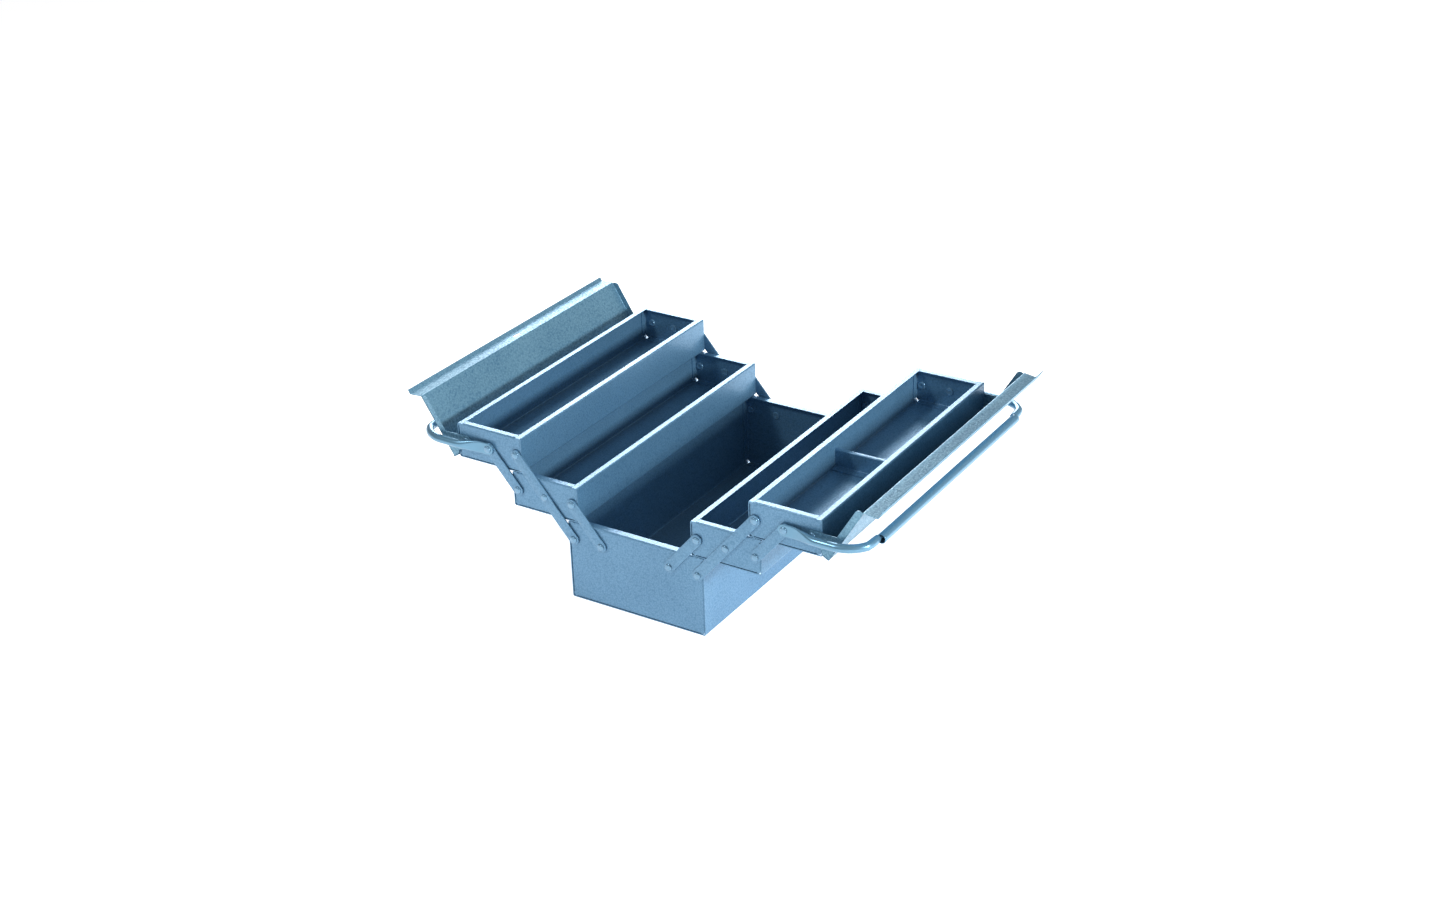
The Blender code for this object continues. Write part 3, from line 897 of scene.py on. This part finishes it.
    def cheek_shell(self, shells: Shells, end: End) -> None:
        """Add one cheek: an L that bends off the panel's edge, swept along u.

        The section runs round a quarter circle from the panel's face to the cheek's face,
        down to the cheek's lower edge, and back up inside, a sheet's thickness away.

        Args:
            shells: the lid's surfaces so far.
            end: which end of the lid the cheek is on.
        """
        u, bottom = self.cheek_line()
        r, t = self.bend, self.sheet
        q = np.linspace(0.0, QUARTER, self.bend_rows)
        root, inside = self.reach - r, self.reach - t
        y = np.concatenate([root + r * np.sin(q), [self.reach, self.reach, inside, inside],
                            root + (r - t) * np.sin(q[::-1])])
        outer_w = self.top_w - r + r * np.cos(q)
        inner_w = self.top_w - r + (r - t) * np.cos(q[::-1])
        guard = self.top_w - r - GUARD / 2.0
        w = np.stack([np.concatenate([outer_w, [guard, b, b, guard], inner_w]) for b in bottom])
        x, z = self.world(u[:, None], w)
        shells.loft(np.stack([x, np.broadcast_to(end.value * y, x.shape), z], -1))

    def build(self) -> None:
        """Make the lid."""
        self.sheet_shell()


# ---------------------------------------------------------------------------
# handles
# ---------------------------------------------------------------------------
@dataclass
class Handle:
    """Steel bail with flattened pivot ends, and the tube that its two legs carry.

    `eye` is the eye's radius and `flat` half its thickness, `rod` the rod's radius and
    `bend` that of its two corners. Inside the tube, whose inner radius is `bore`, a spigot
    has radius `neck` at first and `core` after that. The rod meets the tube `inset` short
    of the tube's own line, squeezed there to `mouth_half`. `eye_rows` are the places of the
    eye's sections from its tip.
    """

    side: Side
    eye: float = 0.0080
    flat: float = 0.0012
    rod: float = 0.0054
    bend: float = 0.0400
    neck: float = 0.0026
    core: float = 0.0050
    bore: float = 0.0051
    eye_rows: tuple[float, ...] = (0.0001, 0.0005, 0.0012, 0.0022, 0.0036, 0.0054, 0.0080,
                                   0.0120)
    leg_start: float = 0.0085
    leg_run: float = 0.0390
    leg_rows: int = 12
    arc_start: float = math.radians(4.0)
    arc_stop: float = math.radians(60.0)
    arc_rows: int = 15
    inset: float = 0.0038
    mouth_lean: tuple[float, float] = (0.978, -0.208)
    mouth_half: float = 0.0042
    squareness: float = 0.50
    around: int = 28
    tube_around: int = 48
    lip_rows: int = 7
    lip_run: float = 0.0040
    bore_run: float = 0.0120

    def __post_init__(self) -> None:
        """Read the pivot, the legs' place and the tube's box from the nodes."""
        label = self.side.label
        self.node, self.tube = f"handle_{label}", f"grip_{label}"
        self.body = frame["nodes"][self.node]["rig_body"]
        self.pivot = middle(f"rivet_top_outer_{label}_front")
        low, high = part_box(self.node)
        self.leg_y = high.y - self.rod
        grip_low, grip_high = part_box(self.tube)
        self.grip_r = (grip_high.z - grip_low.z) / 2.0
        self.grip_half = grip_high.y
        grip_x = (grip_low.x + grip_high.x) / 2.0
        self.reach = abs(grip_x - self.pivot[0])
        arm_low, arm_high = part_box(f"upper_arm_{label}_rear")
        self.flat_y = arm_high.y + FIT + self.flat

    def stations(self) -> np.ndarray:
        """Half of the bail, from the front eye into the tube.

        The eye is flat with a round end, so its half height is the chord of a circle. It
        eases into a round leg, whose place and half sizes go from the eye's to the rod's by
        a smooth step. The leg follows part of a circle of the bend radius and squeezes into
        the tube's mouth. A thin spigot goes on into the bore and swells to fill it.

        Returns:
            (n, 7) rows of x, y, normal x, normal y, half width, half height, squareness.
        """
        rod, flat, eye, mouth = self.rod, self.flat, self.eye, -self.grip_half
        d = np.array(self.eye_rows)
        chord = np.sqrt(np.maximum(eye ** 2 - np.maximum(eye - d, 0.0) ** 2, 0.0))
        one = np.ones_like(d)
        end = np.stack([d - eye, -self.flat_y * one, 0.0 * one, -one, flat * one, chord, one], -1)
        t = np.linspace(0.0, 1.0, self.leg_rows)
        ease, one = smoothstep(t), np.ones_like(t)
        leg = np.stack([self.leg_start + self.leg_run * t,
                        -(self.flat_y + (self.leg_y - self.flat_y) * ease), 0.0 * one, -one,
                        flat + (rod - flat) * ease, eye + (rod - eye) * ease, 1.0 - ease], -1)
        a = np.linspace(self.arc_start, self.arc_stop, self.arc_rows)
        one = np.ones_like(a)
        bent = np.stack([self.reach - self.bend + self.bend * np.sin(a),
                         self.bend - self.leg_y - self.bend * np.cos(a),
                         np.sin(a), -np.cos(a), rod * one, rod * one, 0.0 * one], -1)
        near, neck, core = self.reach - self.inset, self.neck, self.core
        tail = np.array([
            (near - 0.0003, mouth - 0.0150, *self.mouth_lean, rod, rod, 0.0),
            (near, mouth - 0.0080, 1.0, 0.0, rod * 0.98, rod, 0.0),
            (near, mouth - 0.0004, 1.0, 0.0, self.mouth_half, rod * 0.96, 0.0),
            (near + 0.0008, mouth - 0.0002, 1.0, 0.0, neck, neck, 0.0),
            (near + 0.0012, mouth + 0.0080, 1.0, 0.0, neck, neck, 0.0),
            (self.reach, mouth + 0.0140, 1.0, 0.0, core, core, 0.0),
            (self.reach, mouth + 0.1000, 1.0, 0.0, core, core, 0.0)])
        return np.concatenate([end, leg, bent, tail])

    def bail(self) -> bpy.types.Object:
        """Sweep a superellipse along the stations and their mirror image.

        A section's point at angle a lies half width times cos a to the power p along the
        normal, and half height times sin a to the same power up. The power is 1 where the
        rod is round and falls by the squareness where it is flattened.

        Returns:
            The bail, in place of its plain solid.
        """
        half = self.stations()
        back = half[::-1] * np.array([1.0, -1.0, 1.0, -1.0, 1.0, 1.0, 1.0])
        rows = np.concatenate([half, back])
        a = np.linspace(0.0, 2.0 * np.pi, self.around, endpoint=False)
        power = 1.0 - self.squareness * rows[:, 6:7]
        n = rows[:, 4:5] * signed_power(np.cos(a), power)
        v = rows[:, 5:6] * signed_power(np.sin(a), power)
        x = self.pivot[0] + self.side.value * (rows[:, 0:1] + rows[:, 2:3] * n)
        y = rows[:, 1:2] + rows[:, 3:4] * n
        shells = Shells()
        shells.loft(np.stack([x, y, self.pivot[1] + v], -1))
        return shells.make(self.node + ".bail", HANDLE_PAINT, self.body, self.node)

    def grip(self) -> bpy.types.Object:
        """Open tube with rolled lips: a closed profile turned about the grip's line.

        Returns:
            The tube, in place of its plain solid.
        """
        lip = (self.grip_r - self.bore) / 2.0
        q = np.linspace(0.0, np.pi, self.lip_rows)
        lip_r = self.bore + lip - lip * np.cos(q)
        lip_y = self.grip_half - lip + lip * np.sin(q)
        outside, inside = self.grip_half - self.lip_run, self.grip_half - self.bore_run
        radius = np.concatenate([lip_r, [self.grip_r, self.grip_r], lip_r[::-1],
                                 [self.bore, self.bore]])
        y = np.concatenate([lip_y, [outside, -outside], -lip_y[::-1], [-inside, inside]])
        centre = (self.pivot[0] + self.side.value * self.reach, self.pivot[1])
        shells = Shells()
        shells.loft(turned_y(centre, radius, y, self.tube_around), hoop=True)
        return shells.make(self.tube + ".tube", HANDLE_PAINT, self.body, self.tube)

    def build(self) -> None:
        """Make the bail and its tube."""
        self.bail()
        self.grip()


# ---------------------------------------------------------------------------
# studio
# ---------------------------------------------------------------------------
@dataclass(frozen=True)
class Softbox:
    """Square area light: its name, where it stands, its edge length and its watts."""

    name: str
    place: tuple[float, float, float]
    size: float
    power: float


SOFTBOXES = (Softbox("back_left", (-1.15, 1.75, 1.20), 1.3, 48.0),
             Softbox("right", (2.30, -0.20, 1.05), 0.35, 68.0),
             Softbox("front_left", (-0.80, -1.60, 2.00), 0.35, 21.0))


@dataclass(frozen=True)
class Studio:
    """White floor, white surround, soft boxes and the camera."""

    azimuth: float = math.radians(32.759)
    elevation: float = math.radians(27.005)
    roll: float = math.radians(-1.751)
    lens: float = 53.34
    place: tuple[float, float, float] = (1.3435, -2.0906, 1.3957)
    target: tuple[float, float, float] = (0.0, 0.0, 0.12)
    floor_reach: float = 12.0
    floor_drop: float = -0.0003
    floor_grey: float = 0.93
    floor_glow: float = 0.60
    floor_roughness: float = 0.9
    floor_specular: float = 0.1
    surround_strength: float = 0.36

    def floor(self) -> None:
        """A wide pale floor just under the box."""
        r, z = self.floor_reach, self.floor_drop
        mesh = bpy.data.meshes.new("floor")
        mesh.from_pydata([(-r, -r, z), (r, -r, z), (r, r, z), (-r, r, z)], [], [[0, 1, 2, 3]])
        mat = bpy.data.materials.new("studio_floor")
        mat.use_nodes = True
        inputs = mat.node_tree.nodes["Principled BSDF"].inputs
        inputs["Base Color"].default_value = (*[self.floor_grey] * 3, 1.0)
        inputs["Emission Color"].default_value = (1.0, 1.0, 1.0, 1.0)
        inputs["Emission Strength"].default_value = self.floor_glow
        inputs["Roughness"].default_value = self.floor_roughness
        inputs["Specular IOR Level"].default_value = self.floor_specular
        mesh.materials.append(mat)
        floor = bpy.data.objects.new("floor", mesh)
        bpy.context.scene.collection.objects.link(floor)

    def surround(self) -> None:
        """Plain white world."""
        world = bpy.data.worlds.new("studio_world")
        world.use_nodes = True
        sky = world.node_tree.nodes["Background"]
        sky.inputs["Color"].default_value = (1.0, 1.0, 1.0, 1.0)
        sky.inputs["Strength"].default_value = self.surround_strength
        bpy.context.scene.world = world
        bpy.context.scene.view_settings.view_transform = "Standard"

    def light(self, box: Softbox) -> None:
        """Hang one soft box, aimed at the middle of the toolbox.

        Args:
            box: the light to hang.
        """
        data = bpy.data.lights.new(box.name, "AREA")
        data.size, data.energy = box.size, box.power
        lamp = bpy.data.objects.new(box.name, data)
        bpy.context.scene.collection.objects.link(lamp)
        aim = Vector(self.target) - Vector(box.place)
        lamp.rotation_euler = aim.to_track_quat("-Z", "Y").to_euler()
        lamp.location = box.place

    def camera(self) -> None:
        """Long lens on the box from the front right, a little above."""
        az, el = self.azimuth, self.elevation
        ahead = Vector((-math.sin(az) * math.cos(el), math.cos(az) * math.cos(el), -math.sin(el)))
        right = ahead.cross(Vector((0.0, 0.0, 1.0))).normalized()
        up = right.cross(ahead)
        turned = right * math.cos(self.roll) + up * math.sin(self.roll)
        up = up * math.cos(self.roll) - right * math.sin(self.roll)
        data = bpy.data.cameras.new("camera")
        data.lens = self.lens
        camera = bpy.data.objects.new("camera", data)
        bpy.context.scene.collection.objects.link(camera)
        pose = Matrix((turned, up, -ahead)).transposed().to_4x4()
        pose.translation = Vector(self.place)
        camera.matrix_world = pose
        bpy.context.scene.camera = camera

    def build(self) -> None:
        """Set the stage, the lights and the camera."""
        self.floor()
        self.surround()
        for box in SOFTBOXES:
            self.light(box)
        self.camera()


def main() -> None:
    """Build every sub-assembly in order."""
    logging.basicConfig(level=logging.INFO, format="%(name)s %(message)s")
    Tray("base_tray", "base", end_rim=0.0100).build()
    for side in Side:
        for level in ("mid", "top"):
            Tray(f"{level}_tray_{side.label}", f"{level}_tray_{side.label}").build()
        wing = Linkage(side)
        wing.arms()
        wing.rivets()
        Handle(side).build()
    Divider().build()
    Lid(Side.LEFT, (0.0840, 0.0490), 0.0065, True).build()
    Lid(Side.RIGHT, (0.0830, 0.0505), 0.0145, False).build()
    Studio().build()


if __name__ == "__main__":
    main()
